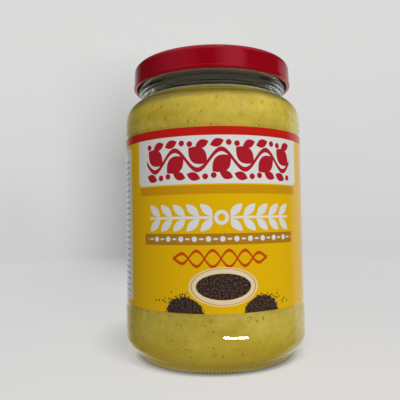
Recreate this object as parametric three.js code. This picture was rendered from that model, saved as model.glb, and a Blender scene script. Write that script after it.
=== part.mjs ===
// A glass jar of mustard with a twist-off lid and a wrapped paper label.
// Millimetres, +Z up. The origin is the middle of the base, on the surface it
// stands on, and the front of the label faces -Y.
import * as THREE from 'three';

// Driving dimensions. r is a distance from the axis and z a height.
const TOTAL_HEIGHT = 119.5;
const PANEL_RADIUS = 36.5; // the glass behind the label
const HEEL_RADIUS = 37.2; // the band below the label, which keeps it off other jars
const SHOULDER_RADIUS = 36.9;
const WALL = 2.4;
const SIDES = 64; // facets round every turned piece

// Outside of the glass, from the base up
const PUSH_UP = { z: 3, shelfR: 16.8, shelfZ: 2.5, footR: 26.6, footZ: 0.6 };
const BEARING = { inner: 28, outer: 30.4 };
const CHAMFER_TOP = { r: 34.9, z: 4.5 };
const HEEL_KNEE = { r: 36.5, z: 6.4 };
const HEEL_BAND = { from: 8.4, to: 20.4 };
const PANEL = { from: 21.4, to: 89.6 };
const SHOULDER = { from: 90.4, z: 94.8, radius: 10, turn: 70 };
const GROOVE = { r: 28.3, from: 105.1, to: 105.7, ease: 0.7 };
const BEAD = { r: 31.2, from: 109.1, to: 109.9, under: 0.9 };
const FINISH_RADIUS = 30.2;
const THREAD = { r: 31, from: 113.6, crest: 114.4, to: 115.2 };
const RIM = { z: TOTAL_HEIGHT - 1.1, outerRound: 1, innerRound: 0.9 };

// Inside of the glass
const INNER_RADIUS = PANEL_RADIUS - WALL;
const INNER_HEEL = { radius: 9, z: 14.2 };
const INNER_PUSH_UP = { z: 6.4, shelfR: 13.8, shelfZ: 6 };
const INNER_SHOULDER = { z: 93.3, radius: 8.5, turn: 77 };
const THROAT = { round: 1.6, to: 106.5 };
const MOUTH = { r: 27.5, from: 109 };

// Mustard
const FILL = { level: 105, rise: 0.3, flatPart: 0.7, clearance: 0.1 };

// Lid
const LID = { r: 33.2, bottom: 110.1, sheet: 0.5, corner: 2.6, curl: 0.8 };
const SKIRT_FLARE = 0.5; // how much wider the skirt is at its foot
const CROWN_FROM = 27;
const SUNK_PANEL = { r: 25.6, drop: 0.65 };
const BUTTON = { r: 10.5, rise: 0.3, blend: 1.1 };

// Label
const LABEL = { from: 22.5, to: 88, clearance: 0.05, thickness: 0.25 };
const LABEL_GAP_SIDES = 4; // facets left bare at the back

// Steps of the round stretches, in degrees
const FINE = 10;
const MIDDLE = 23;
const COARSE = 45;

// The point at an angle in degrees on a circle round (r, z).
function onCircle(r, z, radius, degrees) {
  const angle = THREE.MathUtils.degToRad(degrees);
  return [r + radius * Math.cos(angle), z + radius * Math.sin(angle)];
}

// Points along an arc of the outline, from one angle to the other, in degrees.
function arc(r, z, radius, from, to, step) {
  const count = Math.ceil(Math.abs(to - from) / step);
  return Array.from({ length: count + 1 }, (_, i) => onCircle(r, z, radius, from + ((to - from) * i) / count));
}

// A solid of revolution about Z from an outline of [radius, height] points.
function turned(name, outline, material) {
  const points = outline.map(([r, z]) => new THREE.Vector2(r, z));
  const geometry = new THREE.LatheGeometry(points, SIDES);
  geometry.rotateX(Math.PI / 2);
  const mesh = new THREE.Mesh(geometry, material);
  mesh.name = name;
  return mesh;
}

// The hollow of the glass from the middle of its floor to the throat, drawn in by a clearance.
function hollowOutline(clearance) {
  const heelR = INNER_RADIUS - INNER_HEEL.radius;
  const { z, radius, turn } = INNER_SHOULDER;
  const shoulderR = INNER_RADIUS - radius;
  const [throatR, throatZ] = onCircle(shoulderR, z, radius + THROAT.round, turn);
  return [
    [0, INNER_PUSH_UP.z + clearance],
    [INNER_PUSH_UP.shelfR, INNER_PUSH_UP.shelfZ + clearance],
    ...arc(heelR, INNER_HEEL.z, INNER_HEEL.radius - clearance, 270, 360, FINE * 1.5),
    ...arc(shoulderR, z, radius - clearance, 0, turn, FINE * 1.5),
    ...arc(throatR, throatZ, THROAT.round + clearance, 180 + turn, 180, MIDDLE).slice(1),
  ];
}

// Glass, blown in a mould: pushed-up base on a bearing ring, chamfered heel,
// sunk label panel, round shoulder, groove and bead below the screw finish.
function jar() {
  const shoulderR = SHOULDER_RADIUS - SHOULDER.radius;
  const outside = [
    [0, PUSH_UP.z],
    [PUSH_UP.shelfR, PUSH_UP.shelfZ],
    [PUSH_UP.footR, PUSH_UP.footZ],
    [BEARING.inner, 0],
    [BEARING.outer, 0],
    [CHAMFER_TOP.r, CHAMFER_TOP.z],
    [HEEL_KNEE.r, HEEL_KNEE.z],
    [HEEL_RADIUS, HEEL_BAND.from],
    [HEEL_RADIUS, HEEL_BAND.to],
    [PANEL_RADIUS, PANEL.from],
    [PANEL_RADIUS, PANEL.to],
    [SHOULDER_RADIUS, SHOULDER.from],
    ...arc(shoulderR, SHOULDER.z, SHOULDER.radius, 0, SHOULDER.turn, FINE),
    [GROOVE.r + GROOVE.ease, GROOVE.from - GROOVE.ease / 2],
    [GROOVE.r, GROOVE.from],
    [GROOVE.r, GROOVE.to],
    [BEAD.r, BEAD.from],
    [BEAD.r, BEAD.to],
    [FINISH_RADIUS, BEAD.to + BEAD.under],
    [FINISH_RADIUS, THREAD.from],
    [THREAD.r, THREAD.crest],
    [FINISH_RADIUS, THREAD.to],
    ...arc(FINISH_RADIUS - RIM.outerRound, RIM.z - RIM.outerRound, RIM.outerRound, 0, 90, COARSE),
    ...arc(MOUTH.r + RIM.innerRound, RIM.z - RIM.innerRound, RIM.innerRound, 90, 180, COARSE),
    [MOUTH.r, MOUTH.from],
  ];
  const inside = hollowOutline(0).reverse();
  const throatR = inside[0][0];
  return turned('jar', [...outside, [throatR, THROAT.to], ...inside], MATERIALS.glass);
}

// Smooth mustard, filled to just inside the neck.
function mustard() {
  const wall = hollowOutline(FILL.clearance);
  const surfaceR = wall[wall.length - 1][0];
  const top = FILL.level + FILL.rise;
  const surface = [
    [surfaceR, FILL.level],
    [surfaceR * FILL.flatPart, top],
    [0, top],
  ];
  return turned('mustard', [...wall, ...surface], MATERIALS.mustard);
}

// Deep-drawn tinplate cap: button in a sunk panel, rounded crown over the rim,
// skirt and a rolled curl at its foot.
function lid() {
  const panelZ = TOTAL_HEIGHT - SUNK_PANEL.drop;
  const cornerR = LID.r - SKIRT_FLARE - LID.corner;
  const cornerZ = TOTAL_HEIGHT - LID.corner;
  const curlR = LID.r - LID.curl;
  const curlZ = LID.bottom + LID.curl;
  const topFace = (drop) => [
    [0, panelZ + BUTTON.rise - drop],
    [BUTTON.r, panelZ + BUTTON.rise - drop],
    [BUTTON.r + BUTTON.blend, panelZ - drop],
    [SUNK_PANEL.r, panelZ - drop],
    [CROWN_FROM, TOTAL_HEIGHT - drop],
  ];
  const outline = [
    ...topFace(LID.sheet),
    ...arc(cornerR, cornerZ, LID.corner - LID.sheet, 90, 0, MIDDLE * 1.5),
    [curlR, curlZ + LID.curl],
    ...arc(curlR, curlZ, LID.curl, 150, 360, COARSE),
    ...arc(cornerR, cornerZ, LID.corner, 0, 90, MIDDLE),
    ...topFace(0).reverse(),
  ];
  return turned('lid', outline, MATERIALS.lid);
}

// One strip of paper wrapped round the panel, its two ends a little apart at the back.
function label() {
  const inner = PANEL_RADIUS + LABEL.clearance;
  const outer = inner + LABEL.thickness;
  const facet = (2 * Math.PI) / SIDES;
  const facets = SIDES - LABEL_GAP_SIDES;
  const from = Math.PI / 2 + (LABEL_GAP_SIDES / 2) * facet;
  const edge = (radius, order) =>
    order.map((i) => new THREE.Vector2(radius * Math.cos(from + i * facet), radius * Math.sin(from + i * facet)));
  const forward = Array.from({ length: facets + 1 }, (_, i) => i);
  const strip = new THREE.Shape([...edge(outer, forward), ...edge(inner, [...forward].reverse())]);
  const geometry = new THREE.ExtrudeGeometry(strip, { depth: LABEL.to - LABEL.from, bevelEnabled: false });
  const mesh = new THREE.Mesh(geometry, MATERIALS.label);
  mesh.position.z = LABEL.from;
  mesh.name = 'label';
  return mesh;
}

const MATERIALS = {
  glass: new THREE.MeshStandardMaterial({ color: 0xdfe8df, roughness: 0.05, metalness: 0 }),
  mustard: new THREE.MeshStandardMaterial({ color: 0xb8a846, roughness: 0.5, metalness: 0 }),
  lid: new THREE.MeshStandardMaterial({ color: 0x96101d, roughness: 0.25, metalness: 0 }),
  label: new THREE.MeshStandardMaterial({ color: 0xdcb214, roughness: 0.4, metalness: 0 }),
};

const group = new THREE.Group();
group.name = 'mustard_jar';
group.add(jar(), mustard(), lid(), label());

export default group;
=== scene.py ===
import math

import bpy
from mathutils import Euler, Matrix, Vector


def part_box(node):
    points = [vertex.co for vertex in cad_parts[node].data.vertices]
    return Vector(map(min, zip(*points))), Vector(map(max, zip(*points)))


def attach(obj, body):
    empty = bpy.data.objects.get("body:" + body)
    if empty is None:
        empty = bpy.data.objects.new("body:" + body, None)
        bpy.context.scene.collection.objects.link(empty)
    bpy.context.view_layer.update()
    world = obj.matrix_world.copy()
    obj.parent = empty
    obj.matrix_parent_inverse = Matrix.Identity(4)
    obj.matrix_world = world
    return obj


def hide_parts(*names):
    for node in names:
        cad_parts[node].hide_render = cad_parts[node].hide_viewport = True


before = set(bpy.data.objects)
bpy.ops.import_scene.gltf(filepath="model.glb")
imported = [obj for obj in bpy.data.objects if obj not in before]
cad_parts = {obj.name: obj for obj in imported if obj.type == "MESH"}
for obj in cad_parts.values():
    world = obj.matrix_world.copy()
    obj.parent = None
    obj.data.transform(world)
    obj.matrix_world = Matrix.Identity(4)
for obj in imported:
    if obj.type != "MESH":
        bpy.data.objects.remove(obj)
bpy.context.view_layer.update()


# Camera
# The jar is seen from close by, level with its middle and square to the front of the
# label, by a camera that is tilted up and turned by about two degrees and rolled by one.
CAMERA_PLACE = (0, -0.1968, 0.0554)
CAMERA_PITCH = 2.38
CAMERA_YAW = -1.66
CAMERA_ROLL = -0.89
LENS = 41.3  # mm
SENSOR_WIDTH = 36  # mm

camera_data = bpy.data.cameras.new("camera")
camera_data.lens = LENS
camera_data.sensor_width = SENSOR_WIDTH
camera_data.clip_start = 0.01
camera = bpy.data.objects.new("camera", camera_data)
bpy.context.scene.collection.objects.link(camera)
aim = Euler((math.radians(90 + CAMERA_PITCH), 0, math.radians(-CAMERA_YAW))).to_matrix()
aim = aim @ Matrix.Rotation(math.radians(CAMERA_ROLL), 3, "Z")
camera.matrix_world = Matrix.Translation(CAMERA_PLACE) @ aim.to_4x4()
bpy.context.scene.camera = camera
bpy.context.scene.view_settings.view_transform = "Standard"


# Table and backdrop
# A matt, pale grey sweep: a level floor that curves up into a wall all the way round,
# open at the top. A faint shade lies on it far behind the left side of the jar, and a
# darker one under the jar.
MM = 0.001
FLOOR_RADIUS = 0.55
SWEEP_RADIUS = 0.5
WALL_TOP = 1.6
SWEEP_SIDES = 96


def ink(red, green, blue):
    """Linear colour from the 0-255 values that it has on paper."""
    shares = [value / 255 for value in (red, green, blue)]
    return [v / 12.92 if v < 0.04 else ((v + 0.055) / 1.055) ** 2.4 for v in shares] + [1]


SWEEP_GREY = ink(182, 182, 181)
SWEEP_PALE = ink(188, 188, 187)
GLOW_NEAR = ink(234, 234, 234)
GLOW_FAR = [1, 1, 1, 1]
BLACK = [0, 0, 0, 1]


class Wire:
    """The output of a shader node. Arithmetic on it adds Math nodes to its finish."""

    def __init__(self, finish, socket):
        self.finish = finish
        self.socket = socket

    def math(self, operation, *values, clamp=False):
        settings = {"operation": operation, "use_clamp": clamp}
        return self.finish.node("ShaderNodeMath", settings, dict(enumerate(values)))

    def __add__(self, other):
        return self.math("ADD", self, other)

    def __sub__(self, other):
        return self.math("SUBTRACT", self, other)

    def __rsub__(self, other):
        return self.math("SUBTRACT", other, self)

    def __mul__(self, other):
        return self.math("MULTIPLY", self, other)

    def __truediv__(self, other):
        return self.math("DIVIDE", self, other)

    def __pow__(self, other):
        return self.math("POWER", self, other)

    def __abs__(self):
        return self.math("ABSOLUTE", self)

    def __or__(self, other):
        """The smaller of the two. Of distances to two shapes it is that to both together."""
        return self.math("MINIMUM", self, other)

    def __and__(self, other):
        """The larger of the two. Of distances to two shapes it is that to what they share."""
        return self.math("MAXIMUM", self, other)

    __radd__ = __add__
    __rmul__ = __mul__

    def ramp(self, low, high):
        """0 below low, 1 above high and straight in between; low may be the larger."""
        slope = 1 / (high - low)
        return self.math("MULTIPLY_ADD", self, slope, -low * slope, clamp=True)

    def hump(self, foot, top, end_of_top, far_foot):
        """1 between the two middle values, falling straight to 0 at the outer two."""
        return self.ramp(foot, top) * self.ramp(far_foot, end_of_top)

    def wrapped(self, period):
        """The same number counted from the middle of its period."""
        return self.math("WRAP", self, period / 2, -period / 2)


class Finish:
    """The finish of one surface, or the light of the world: nodes that end in one shader."""

    def __init__(self, name, **constants):
        self.material = bpy.data.materials.new(name)
        self.material.use_nodes = True
        self.tree = self.material.node_tree
        self.shader = self.tree.nodes["Principled BSDF"]
        for socket, value in constants.items():
            self.shader.inputs[socket.replace("_", " ")].default_value = value

    def node(self, kind, settings, inputs, output=0):
        made = self.tree.nodes.new(kind)
        for setting, value in settings.items():
            setattr(made, setting, value)
        for socket, value in inputs.items():
            self.feed(made.inputs[socket], value)
        return Wire(self, made.outputs[output])

    def feed(self, socket, value):
        if isinstance(value, Wire):
            self.tree.links.new(value.socket, socket)
        else:
            socket.default_value = value

    def set(self, socket, value):
        self.feed(self.shader.inputs[socket], value)

    def place(self):
        """Where a point of the surface lies, in metres."""
        return self.node("ShaderNodeTexCoord", {}, {}, "Object")

    def parts(self, vector):
        separate = self.node("ShaderNodeSeparateXYZ", {}, {0: vector}).socket.node
        return [Wire(self, output) for output in separate.outputs]

    def stretched(self, vector, scale):
        return self.node("ShaderNodeVectorMath", {"operation": "MULTIPLY"}, {0: vector, 1: scale})

    def noise(self, vector, scale, detail=2):
        return self.node("ShaderNodeTexNoise", {}, {"Vector": vector, "Scale": scale, "Detail": detail})

    def mix(self, factor, below, above):
        """The colour below, covered by the colour above as far as the factor says."""
        factor_in, below_in, above_in, colour_out = 0, 6, 7, 2  # socket numbers for colours
        inputs = {factor_in: factor, below_in: below, above_in: above}
        return self.node("ShaderNodeMix", {"data_type": "RGBA"}, inputs, colour_out)

    def bump(self, height, depth):
        """Relief of the given depth in metres."""
        settings = {"Strength": 1.0, "Distance": depth, "Height": height}
        self.set("Normal", self.node("ShaderNodeBump", {}, settings))


def rounded(corners, step):
    """An outline through corners (r, z) or (r, z, radius), those with a radius as arcs.

    An arc is divided evenly into steps of no more than the given size, in degrees.
    """
    points = []
    for i, (r, z, *radius) in enumerate(corners):
        here = Vector((r, z))
        if not radius:
            points.append(here)
            continue
        back = (Vector(corners[i - 1][:2]) - here).normalized()
        ahead = (Vector(corners[i + 1][:2]) - here).normalized()
        turn = math.pi - back.angle(ahead)
        reach = radius[0] * math.tan(turn / 2)
        centre = here + (back + ahead).normalized() * radius[0] / math.cos(turn / 2)
        first = here + back * reach - centre
        last = here + ahead * reach - centre
        count = max(2, math.ceil(math.degrees(turn) / step))
        points += [centre + first.slerp(last, k / count) * radius[0] for k in range(count + 1)]
    return points


def turned(name, outline, sides, relief=None):
    """A mesh turned about Z from an outline in millimetres. relief(point, angle) may move a point."""
    vertices = []
    rings = []
    for point in outline:
        count = 1 if point[0] == 0 else sides
        rings.append([len(vertices) + k for k in range(count)])
        for k in range(count):
            angle = 2 * math.pi * k / sides
            r, z = relief(point, angle) if relief else point
            vertices.append((MM * r * math.cos(angle), MM * r * math.sin(angle), MM * z))
    faces = []
    for lower, upper in zip(rings, rings[1:]):
        for k in range(sides):
            after = (k + 1) % sides
            face = [
                lower[k % len(lower)],
                lower[after % len(lower)],
                upper[after % len(upper)],
                upper[k % len(upper)],
            ]
            faces.append(list(dict.fromkeys(face)))
    mesh = bpy.data.meshes.new(name)
    mesh.from_pydata(vertices, [], faces)
    mesh.shade_smooth()
    piece = bpy.data.objects.new(name, mesh)
    bpy.context.scene.collection.objects.link(piece)
    return piece


sweep_corner = (FLOOR_RADIUS + SWEEP_RADIUS) / MM
sweep = [(0, 0), (sweep_corner, 0, SWEEP_RADIUS / MM), (sweep_corner, WALL_TOP / MM)]
backdrop = turned("backdrop", rounded(sweep, step=4), SWEEP_SIDES)

paper_sweep = Finish("pale_backdrop", Roughness=0.9, Specular_IOR_Level=0.1, Emission_Strength=0.45)
where = paper_sweep.place()
across, back, up = paper_sweep.parts(where)
away = (across ** 2 + back ** 2) ** 0.5
slant = across / (back + 0.2)
shade_sides = slant.ramp(-0.36, -0.19) ** 1.5 * slant.ramp(0.05, -0.05)
far_shade = shade_sides * back.ramp(0.17, 0.5) * up.ramp(0.52, 0.2) * 0.42
shade_under_jar = away.ramp(0.034, 0.0295) * 0.9
shade = away.math("MAXIMUM", far_shade, shade_under_jar)
cloudy = paper_sweep.noise(where, 3.0).ramp(0.2, 0.8)
pale = paper_sweep.mix(cloudy, SWEEP_GREY, SWEEP_PALE)
glow = paper_sweep.mix(away.ramp(0.42, 0.12), GLOW_FAR, GLOW_NEAR)
paper_sweep.set("Base Color", paper_sweep.mix(shade, pale, BLACK))
paper_sweep.set("Emission Color", paper_sweep.mix(shade, glow, BLACK))
backdrop.data.materials.append(paper_sweep.material)

# The jar is lit by the lamps and the room alone, not by the sweep.
backdrop.visible_glossy = False
backdrop.visible_diffuse = False
backdrop.visible_shadow = False


# Light
# One lamp hangs overhead and one stands low in front, both to the right of the camera.
# Gloss shows a room that is pale behind the jar and overhead and dim in front, with two
# soft panes. A small strip of light glints in the heel of the glass alone.
LAMP_TARGET = (0, 0, 0.06)
OVERHEAD_PLACE = (0.03, -0.11, 0.5)
OVERHEAD_SIZE = (0.07, 0.07)
OVERHEAD_POWER = 0.95
FRONT_PLACE = (0.6, -1.08, 0.12)
FRONT_SIZE = (0.18, 0.18)
FRONT_POWER = 5.8
GLINT_PLACE = (0.0211, -0.0689, 0.0052)
GLINT_TARGET = (0.006, -0.035, 0.014)
GLINT_SIZE = (0.027, 0.0012)
GLINT_POWER = 0.008
ROOM_LIGHT = (0.26, 0.26, 0.26, 1)
FLOOR_LIGHT = (0.62, 0.62, 0.6, 1)
ROOM_DIM = (0.035, 0.035, 0.035, 1)
ROOM_PALE = (0.75, 0.76, 0.75, 1)
ROOM_ABOVE = (0.45, 0.45, 0.45, 1)
ROOM_PANE = (0.6, 0.52, 0.8, 1)


def lamp(name, place, target, size, power):
    light = bpy.data.lights.new(name, "AREA")
    light.shape = "RECTANGLE"
    light.size, light.size_y = size
    light.energy = power
    holder = bpy.data.objects.new(name, light)
    holder.location = place
    holder.rotation_euler = (Vector(target) - Vector(place)).to_track_quat("-Z", "Y").to_euler()
    holder.visible_camera = False
    bpy.context.scene.collection.objects.link(holder)
    return holder


overhead = lamp("overhead_lamp", OVERHEAD_PLACE, LAMP_TARGET, OVERHEAD_SIZE, OVERHEAD_POWER)
front = lamp("front_lamp", FRONT_PLACE, LAMP_TARGET, FRONT_SIZE, FRONT_POWER)
for soft in (overhead, front):
    soft.visible_glossy = False
    soft.visible_transmission = False

# The glint lamp lights only what is put in this collection, which is the glass.
glint = lamp("glint_lamp", GLINT_PLACE, GLINT_TARGET, GLINT_SIZE, GLINT_POWER)
glint.visible_diffuse = False
glint_takers = bpy.data.collections.new("glint_takers")
glint.light_linking.receiver_collection = glint_takers


class Room(Finish):
    """The light that comes from all round: even on what is matt, and by direction in mirrors."""

    def __init__(self):
        world = bpy.data.worlds.new("room")
        bpy.context.scene.world = world
        world.use_nodes = True
        self.tree = world.node_tree
        self.shader = self.tree.nodes["Background"]


# The room's light depends on the direction that it comes from. The bearing is 0 degrees
# straight in front of the jar and 90 at its right, and z runs from -1 below to 1 above.
room = Room()
x, y, z = room.parts(room.node("ShaderNodeTexCoord", {}, {}, "Generated"))
bearing = x.math("ARCTAN2", x, y * -1) * math.degrees(1)
level = z.hump(-0.8, -0.5, 0.26, 0.44)
right = bearing.ramp(112, 120) * level
left = bearing.ramp(-125, -150) * level * 0.9
right_pane = bearing.hump(4, 26, 44, 56)
left_pane = bearing.hump(-100, -60, -36, -16) * 0.3
panes = (right_pane + left_pane) * z.ramp(0.2, 0.3)
mirrored = room.mix(panes, ROOM_DIM, ROOM_PANE)
mirrored = room.mix(z.ramp(0.6, 0.9), mirrored, ROOM_ABOVE)
mirrored = room.mix(left, mirrored, ROOM_PALE)
mirrored = room.mix(right, mirrored, ROOM_PALE)
is_mirror = room.node("ShaderNodeLightPath", {}, {}, "Is Glossy Ray")
even = room.mix(z.ramp(0.1, -0.3), ROOM_LIGHT, FLOOR_LIGHT)
room.set("Color", room.mix(is_mirror, even, mirrored))


# Glass
# One piece of clear soda-lime glass, blown in a mould: a pushed-up base on a knurled
# bearing ring, a chamfered heel, a label panel sunk between the heel band and the round
# shoulder, and a groove and a bead below the finish that takes the cap.
_, jar_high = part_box("jar")
HEEL_RADIUS = jar_high.x / MM
PANEL_RADIUS = 36.5
SHOULDER_RADIUS = 36.9
GROOVE_RADIUS = 28.3
BEAD_RADIUS = 31
FINISH_RADIUS = 30.2
MOUTH_RADIUS = 27.5
THROAT_RADIUS = 26.27
WALL = 2.4
RIM_TOP = jar_high.z / MM
KNURLS = 140
KNURL_DEPTH = 0.7
KNURL_TOP = 1.6
KNURL_INNER = 27.5  # the push-up within this radius is plain
GLASS_SIDES = 4 * KNURLS
GLASS_OUTSIDE = [
    (0, 3),
    (16.8, 2.5, 6),
    (26.6, 0.6, 4),
    (28, 0, 0.5),  # bearing ring
    (30.4, 0, 0.9),
    (34.9, 4.5, 2.5),  # chamfer of the heel
    (PANEL_RADIUS, 6.4, 3),
    (HEEL_RADIUS, 8.4, 2.5),
    (HEEL_RADIUS, 20.4, 0.8),
    (PANEL_RADIUS, 21.4, 0.5),
    (PANEL_RADIUS, 89.6, 0.5),
    (SHOULDER_RADIUS, 90.4, 0.8),
    (SHOULDER_RADIUS, 101.8, 10),  # round of the shoulder
    (GROOVE_RADIUS, 104.93, 1.2),
    (28.9, 106, 0.4),  # small rings of the neck
    (29.55, 106.4, 0.3),
    (29.65, 107.15, 0.3),
    (30.25, 107.55, 0.3),
    (30.35, 108.4, 0.3),
    (BEAD_RADIUS, 109, 0.35),
    (BEAD_RADIUS, 109.9, 0.35),
    (FINISH_RADIUS, 110.8, 0.6),
    (FINISH_RADIUS, 113.6, 0.4),
    (FINISH_RADIUS + 0.8, 114.4, 0.4),  # thread, under the cap
    (FINISH_RADIUS, 115.2, 0.4),
    (FINISH_RADIUS, RIM_TOP, 1),
    (MOUTH_RADIUS, RIM_TOP, 0.9),
    (MOUTH_RADIUS, 109, 2),
    (THROAT_RADIUS, 106.5, 2),
]
GLASS_TINT = ink(243, 249, 244)
GLASS_CLEAR = ink(247, 251, 246)


def hollow(reach):
    """Corners of the inside of the glass from the throat down, moved out by the reach."""
    r = PANEL_RADIUS - WALL + reach
    floor = 5.2 - reach
    return [
        (THROAT_RADIUS + reach, 101.87, 1.6),
        (r, 100.06 + reach, 8.5 + reach),
        (r, floor, 9 + reach),
        (25.1, floor),
        (13.8, 6 - reach, 6),
        (0, 6.4 - reach),
    ]


def knurled(point, angle):
    """Notches the foot of the bearing ring between its knurls, less deep towards their top."""
    r, z = point
    if z > KNURL_TOP or r < KNURL_INNER:
        return r, z
    notch = (0.5 - 0.5 * math.cos(KNURLS * angle)) * (1 - z / KNURL_TOP)
    return r, z + KNURL_DEPTH * notch


glass = turned("glass_jar", rounded(GLASS_OUTSIDE + hollow(0), step=9), GLASS_SIDES, knurled)

clear = Finish("clear_glass", Roughness=0.0, IOR=1.5, Transmission_Weight=1.0)
where = clear.place()
drawn_up = clear.stretched(where, (1, 1, 0.35))
clear.set("Base Color", clear.mix(clear.noise(where, 30), GLASS_TINT, GLASS_CLEAR))
clear.set("Roughness", clear.noise(where, 90).ramp(0.55, 0.9) * 0.03)
clear.bump(clear.noise(drawn_up, 70, 1), 0.00007)
glass.data.materials.append(clear.material)
glint_takers.objects.link(glass)

# Light passes the clear glass to the mustard and the floor, so it throws no shadow.
glass.visible_shadow = False
glass.visible_diffuse = False
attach(glass, "root")
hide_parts("jar")


# Mustard
# Smooth mustard filled to just inside the neck. It wets the glass all over, and shows
# fine mottling, smeared streaks and small dark flecks of seed husk. Towards the heel its
# colour turns a darker, deeper yellow, which is painted shade.
_, fill_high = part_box("mustard")
FILL_TOP = fill_high.z / MM
FILL_EDGE = FILL_TOP - 0.3
FILL_FLAT = 0.7  # share of the surface that is level
INTO_GLASS = 0.05
MUSTARD_SIDES = 192
MUSTARD_PALE = ink(228, 204, 88)
MUSTARD_DEEP = ink(194, 166, 44)
# Colour of the painted shade towards the heel
MUSTARD_SHADED_AT_HEEL = ink(180, 150, 14)
GRAIN = ink(164, 142, 48)
SOFT_FLECK = ink(136, 112, 34)
HUSK = ink(226, 208, 112)
DARK_FLECK = ink(104, 80, 28)

surface_r = THROAT_RADIUS + INTO_GLASS
surface = [
    (0, FILL_TOP),
    (surface_r * FILL_FLAT, FILL_TOP),
    (surface_r, FILL_EDGE),
]
filling = rounded(surface + hollow(INTO_GLASS), step=8)[::-1]
mustard = turned("mustard_filling", filling, MUSTARD_SIDES)


def cells(finish, vector, scale, randomness=1.0, dimensions="3D"):
    """Distance to the middle of the nearest cell, and a number picked for that cell."""
    inputs = {"Vector": vector, "Scale": scale, "Randomness": randomness}
    distance = finish.node("ShaderNodeTexVoronoi", {"voronoi_dimensions": dimensions}, inputs, "Distance")
    colour = Wire(finish, distance.socket.node.outputs["Color"])
    return distance, finish.parts(colour)[0]


paste = Finish("smooth_mustard", Roughness=0.5, Specular_IOR_Level=0.15)
where = paste.place()
smears = paste.noise(paste.stretched(where, (1, 1, 2.2)), 45, 4).ramp(0.35, 0.7)
grains = paste.noise(where, 420, 3).ramp(0.3, 0.75)
fleck, fleck_chance = cells(paste, where, 400)
flecks = fleck.ramp(0.2, 0.12) * fleck_chance.ramp(0.3, 0.65)
soft_fleck, soft_chance = cells(paste, where, 260)
soft_flecks = soft_fleck.ramp(0.24, 0.1) * soft_chance.ramp(0.4, 0.7)
husks = paste.noise(where, 900, 1).ramp(0.62, 0.72)
_, _, rise = paste.parts(where)
# Painted shade: the mustard turns a darker, deeper yellow towards the heel.
heel_shade = rise.ramp(0.017, 0.004)
yellow = paste.mix(smears, MUSTARD_PALE, MUSTARD_DEEP)
yellow = paste.mix(grains * 0.35, yellow, GRAIN)
yellow = paste.mix(soft_flecks * 0.45, yellow, SOFT_FLECK)
yellow = paste.mix(husks * 0.25, yellow, HUSK)
yellow = paste.mix(heel_shade * 0.85, yellow, MUSTARD_SHADED_AT_HEEL)
paste.set("Base Color", paste.mix(flecks * 0.6, yellow, DARK_FLECK))
paste.set("Roughness", grains * 0.2 + 0.45)
paste.bump(grains, 0.00008)
mustard.data.materials.append(paste.material)
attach(mustard, "root")
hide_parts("mustard")


# Cap
# A twist-off cap drawn from thin tinplate, lacquered glossy red outside: a button in a sunk
# panel, a round crown over the rim and a curl rolled at its foot. Its inside is painted dark
# as painted shade, for the shade that fills the neck under the cap.
_, cap_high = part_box("lid")
CAP_TOP = cap_high.z / MM
SHEET = 0.5
PANEL_TOP = CAP_TOP - 0.65
BUTTON_TOP = PANEL_TOP + 0.3
SKIRT_RADIUS = 32.7
CURL_RADIUS = cap_high.x / MM
CURL_INNER = 31.75
CURL_FOOT = 110.1
CAP_SIDES = 256
CAP_STEP = 9
CAP_INSIDE = [
    (0, BUTTON_TOP - SHEET),
    (10.3, BUTTON_TOP - SHEET, 1),
    (11.4, PANEL_TOP - SHEET, 1),
    (25.8, PANEL_TOP - SHEET, 1),
    (27.2, CAP_TOP - SHEET, 1),
    (SKIRT_RADIUS - SHEET, CAP_TOP - SHEET, 2.1),
    (SKIRT_RADIUS - SHEET, 112, 0.2),
]
CAP_OUTSIDE = [
    (CURL_INNER, 111.7, 0.3),
    (CURL_INNER, CURL_FOOT, 0.5),
    (CURL_RADIUS, CURL_FOOT, 0.55),
    (CURL_RADIUS, 111.2, 0.75),
    (33.05, 111.7, 0.6),
    (SKIRT_RADIUS, CAP_TOP, 2.6),
    (27, CAP_TOP, 1.5),
    (25.6, PANEL_TOP, 1),
    (11.6, PANEL_TOP, 1.5),
    (10.5, BUTTON_TOP, 1.5),
    (0, BUTTON_TOP),
]
LACQUER_BRIGHT = ink(176, 6, 28)
LACQUER_DEEP = ink(160, 4, 22)
# Colours of the painted shade inside the cap
LINING_SHADE_DARK = ink(82, 83, 62)
LINING_SHADE_PALE = ink(100, 99, 76)

cap = turned("twist_off_cap", rounded(CAP_INSIDE + CAP_OUTSIDE, CAP_STEP), CAP_SIDES)

lacquer = Finish("red_lacquer", Roughness=0.12, Metallic=0.3)
where = lacquer.place()
lacquer.set("Base Color", lacquer.mix(lacquer.noise(where, 60), LACQUER_BRIGHT, LACQUER_DEEP))
lacquer.set("Roughness", lacquer.noise(where, 200).ramp(0.3, 0.8) * 0.05 + 0.1)
lacquer.bump(lacquer.noise(where, 900, 1), 0.00001)
# Painted shade: the inside of the cap is coloured dark for the unlit space in the neck.
shaded_lining = Finish("painted_shade_lining", Roughness=0.45)
mottled = shaded_lining.noise(shaded_lining.place(), 80)
shaded_lining.set("Base Color", shaded_lining.mix(mottled, LINING_SHADE_DARK, LINING_SHADE_PALE))
cap.data.materials.append(lacquer.material)
cap.data.materials.append(shaded_lining.material)

# The faces of the inside come first, up to the curl. They take the painted shade.
lined_faces = CAP_SIDES * len(rounded(CAP_INSIDE + [CAP_OUTSIDE[0][:2]], CAP_STEP))
for face in cap.data.polygons[:lined_faces]:
    face.material_index = 1
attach(cap, "root")
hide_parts("lid")


# Label
# A strip of varnished paper wrapped round the sunk panel, its two ends a little apart at
# the back. It is printed in flat fields of colour with plain ornament.
label_low, label_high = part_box("label")
LABEL_FROM = label_low.z / MM
LABEL_TO = label_high.z / MM
LABEL_RADIUS = label_high.x / MM
LABEL_UNDER = PANEL_RADIUS + 0.05
LABEL_GAP = 22.5  # degrees, at the back
LABEL_STEPS = 300

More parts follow.
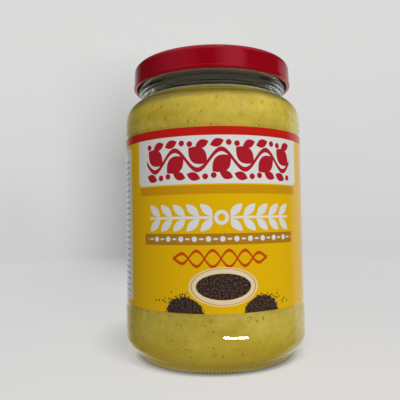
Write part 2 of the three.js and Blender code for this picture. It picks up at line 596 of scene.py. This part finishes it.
section = [
    (LABEL_UNDER, LABEL_FROM),
    (LABEL_RADIUS, LABEL_FROM),
    (LABEL_RADIUS, LABEL_TO),
    (LABEL_UNDER, LABEL_TO),
]
vertices = []
for k in range(LABEL_STEPS + 1):
    angle = math.radians(90 + LABEL_GAP / 2 + (360 - LABEL_GAP) * k / LABEL_STEPS)
    for r, z in section:
        vertices.append((MM * r * math.cos(angle), MM * r * math.sin(angle), MM * z))
faces = [(0, 3, 2, 1), tuple(4 * LABEL_STEPS + i for i in (0, 1, 2, 3))]
for k in range(LABEL_STEPS):
    for i in range(4):
        j = (i + 1) % 4
        faces.append((4 * k + i, 4 * k + j, 4 * k + 4 + j, 4 * k + 4 + i))
mesh = bpy.data.meshes.new("paper_label")
mesh.from_pydata(vertices, [], faces)
mesh.shade_smooth()
mesh.set_sharp_from_angle(angle=math.radians(40))
label = bpy.data.objects.new("paper_label", mesh)
bpy.context.scene.collection.objects.link(label)

YELLOW = ink(231, 182, 0)
RED = ink(196, 26, 20)
DARK_RED = ink(176, 24, 42)
WHITE = ink(226, 226, 222)
OCHRE = ink(206, 148, 8)
BROWN = ink(176, 124, 26)
ORANGE = ink(196, 66, 10)
CREAM = ink(236, 214, 172)
SEED = ink(52, 36, 34)
SEED_PALE = ink(96, 78, 66)
FRAME_GREY = ink(150, 156, 170)
BAR_GREY = ink(112, 118, 136)
PAPER_SPECK = ink(120, 90, 40)

paper = Finish(
    "printed_paper", Roughness=0.25, Specular_IOR_Level=0.06, Coat_Weight=0.35, Coat_Roughness=0.14
)
where = paper.place()
px, py, pz = paper.parts(where)
around = px.math("ARCTAN2", px, py * -1) * LABEL_RADIUS  # mm from the middle of the front
height = pz / MM


def box(low, high, bottom, top, corner=0.0):
    """Distance in mm to a field of the print; below 0 inside it."""
    across = abs(around - (low + high) / 2) - ((high - low) / 2 - corner)
    up = abs(height - (bottom + top) / 2) - ((top - bottom) / 2 - corner)
    if not corner:
        return across & up
    return ((across & 0) ** 2 + (up & 0) ** 2) ** 0.5 + ((across & up) | 0) - corner


def disc(u, v, across, up):
    """Distance in mm to an ellipse round the origin of u and v."""
    return (((u / across) ** 2 + (v / up) ** 2) ** 0.5 - 1) * min(across, up)


def leaf(u, v, length, width, turn):
    """Distance in mm to a pointed leaf on the origin, turned by the angle in degrees."""
    cos, sin = math.cos(math.radians(turn)), math.sin(math.radians(turn))
    along = u * cos + v * sin
    beside = v * cos - u * sin
    return abs(beside) - width / 2 * (1 - (along / (length / 2)) ** 2)


def printed(below, shape, colour, edge=0.12):
    """The print so far, with a shape printed over it; the edge is its softness in mm."""
    return paper.mix(shape.ramp(edge / 2, -edge / 2), below, colour)


# Fields of colour
design = printed(YELLOW, box(-31.7, 37.8, 67.8, 90, 2.2), WHITE)
design = printed(design, box(-30.6, 36.3, 64.2, 67.3), OCHRE)
design = printed(design, box(-28, 33.5, 46.3, 50.3), BROWN)

# Vine on the white panel: a waving stem with a leaf in each bend. Heights off the stem
# count as three quarters, because it runs at a slant.
VINE_MIDDLE = 3.1
VINE_HEIGHT = 76.3
VINE_WAVE = 17
VINE_SWING = 3.6
STEM_WIDTH = 1.3

vine_u = around - VINE_MIDDLE
vine_v = height - VINE_HEIGHT
swing = vine_u.math("COSINE", vine_u * (2 * math.pi / VINE_WAVE))
stem = abs(vine_v - swing * VINE_SWING) * 0.75 - STEM_WIDTH / 2
bend = vine_u.wrapped(VINE_WAVE / 2)
side = vine_v * swing.math("SIGN", swing)
big_leaf = leaf(bend - 0.1, side + 1.5, 8.6, 6, 40)
low_leaf = leaf(bend - 1.7, side + 5.6, 5, 3, -20)
top_leaf = leaf(bend + 1.5, side - 5.9, 5.2, 3, 20)
berries = disc(bend - 2.7, side - 6, 1.05, 1.05) | disc(bend + 2.8, side + 5.6, 1.05, 1.05)
vine = stem | big_leaf | low_leaf | top_leaf | berries
vine = vine & (abs(vine_u) - VINE_WAVE * 1.75)
design = printed(design, vine, DARK_RED)

# Garland of paired leaves in white, growing outwards from a rosette
GARLAND_MIDDLE = 2.8
GARLAND_HEIGHT = 55.9
GARLAND_REACH = 28.1
GARLAND_STEP = 5.1

rosette_u = around - GARLAND_MIDDLE
rosette_v = height - GARLAND_HEIGHT
garland_u = abs(rosette_u)
garland_v = abs(rosette_v)
pair = garland_u.wrapped(GARLAND_STEP)
sprig = leaf(pair, garland_v - 2.6, 6.4, 2.9, 42) | (garland_v - 0.45)
bud = disc(rosette_u, rosette_v, 2.6, 2.6)
eye = disc(rosette_u, rosette_v, 1.3, 1.3)
garland = (sprig & (garland_u - GARLAND_REACH) & (3.2 - garland_u)) | bud
design = printed(design, garland, WHITE)
design = printed(design, eye, YELLOW)

# Round and long beads in turn on the brown strip
BEAD_MIDDLE = 3.1
BEAD_HEIGHT = 48.4
BEAD_STEP = 5.0

bead_u = (around - BEAD_MIDDLE).wrapped(BEAD_STEP)
bead_v = height - BEAD_HEIGHT
round_bead = disc(bead_u, bead_v, 0.95, 0.95)
long_bead = (abs(abs(bead_u) - BEAD_STEP / 2) - 0.75) & (abs(bead_v) - 0.32)
beads = (round_bead | long_bead) & box(-26.2, 32.4, 46.5, 50.2)
design = printed(design, beads, WHITE)

# Twisted cord in red-orange, tapering to its ends
CORD_MIDDLE = 2.35
CORD_HEIGHT = 41.6
CORD_WAVE = 11.6
CORD_SWING = 2.7
CORD_REACH = 17.4

cord_u = around - CORD_MIDDLE
cord_v = height - CORD_HEIGHT
taper = 1.05 - (abs(cord_u) / 17.8) ** 4
cord_wave = cord_u.math("SINE", cord_u * (2 * math.pi / CORD_WAVE)) * taper * CORD_SWING
strands = abs(cord_v - cord_wave) | abs(cord_v + cord_wave)
cord = (strands * 0.6 - 0.34) & (abs(cord_u) - CORD_REACH)
design = printed(design, cord, ORANGE)

# Seeds: an oval tray of them, and loose ones along the foot of the label
TRAY_MIDDLE = 3.2
TRAY_HEIGHT = 31.8
SEEDS_PER_MM = 1.15

seed_place = paper.node("ShaderNodeCombineXYZ", {}, {"X": around, "Y": height})
seed_shape, seed_pick = cells(paper, seed_place, SEEDS_PER_MM, randomness=0.85, dimensions="2D")
seed_light = seed_shape * 1.6 - 0.42
tray_u = around - TRAY_MIDDLE
tray_v = height - TRAY_HEIGHT
tray = disc(tray_u, tray_v, 12.4, 6.8)
heap = disc(tray_u, tray_v, 9.8, 4.6)
design = printed(design, tray, CREAM)
design = printed(design, abs(tray + 0.5) - 0.12, OCHRE)
design = printed(design, heap, SEED)
design = printed(design, seed_light & heap, SEED_PALE, edge=0.3)
spread = abs(tray_u) * 0.03 + abs(height - 26.5) * 0.11
loose = (seed_shape * 1.2 - 0.46) & (spread - seed_pick) & box(-23.5, 29.9, 23.4, 37)
loose = loose & (9 - abs(tray_u)) & (0.6 - tray)
design = printed(design, loose, SEED)
mounds = disc(abs(tray_u) - 14.2, height - 22.8, 7, 5.6) + (seed_shape - 0.4) * 1.4
design = printed(design, mounds & (0.6 - tray), SEED)
design = printed(design, seed_light & mounds & (0.9 - tray), SEED_PALE, edge=0.3)

# Pale panel at the left with a thin frame and plain grey bars
BAR_STEP = 2.3
BAR_FIRST = 25.6

panel = box(-84, -38.2, 24.5, 83.2, 1)
rows = abs((height - BAR_FIRST).wrapped(BAR_STEP)) - 0.38
gaps = paper.noise(paper.stretched(seed_place, (0.5, 0.44, 1)), 5, 0)
bars = rows & (0.42 - gaps) & box(-81.5, -40.6, 27.5, 80.5)
design = printed(design, panel, WHITE)
design = printed(design, abs(panel + 1.2) - 0.12, FRAME_GREY)
design = printed(design, bars, BAR_GREY)

# Red band along the top edge, all the way round
BAND_FROM = 84.9

design = printed(design, BAND_FROM - height, RED)

# Fine specks in the paper, which show through the print and its varnish
specks = paper.noise(where, 1500, 2).ramp(0.3, 0.7)
paper.set("Base Color", paper.mix(specks * 0.06, design, PAPER_SPECK))
paper.set("Roughness", specks * 0.06 + 0.22)
paper.bump(paper.noise(where, 500, 2), 0.00001)
label.data.materials.append(paper.material)
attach(label, "root")
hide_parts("label")
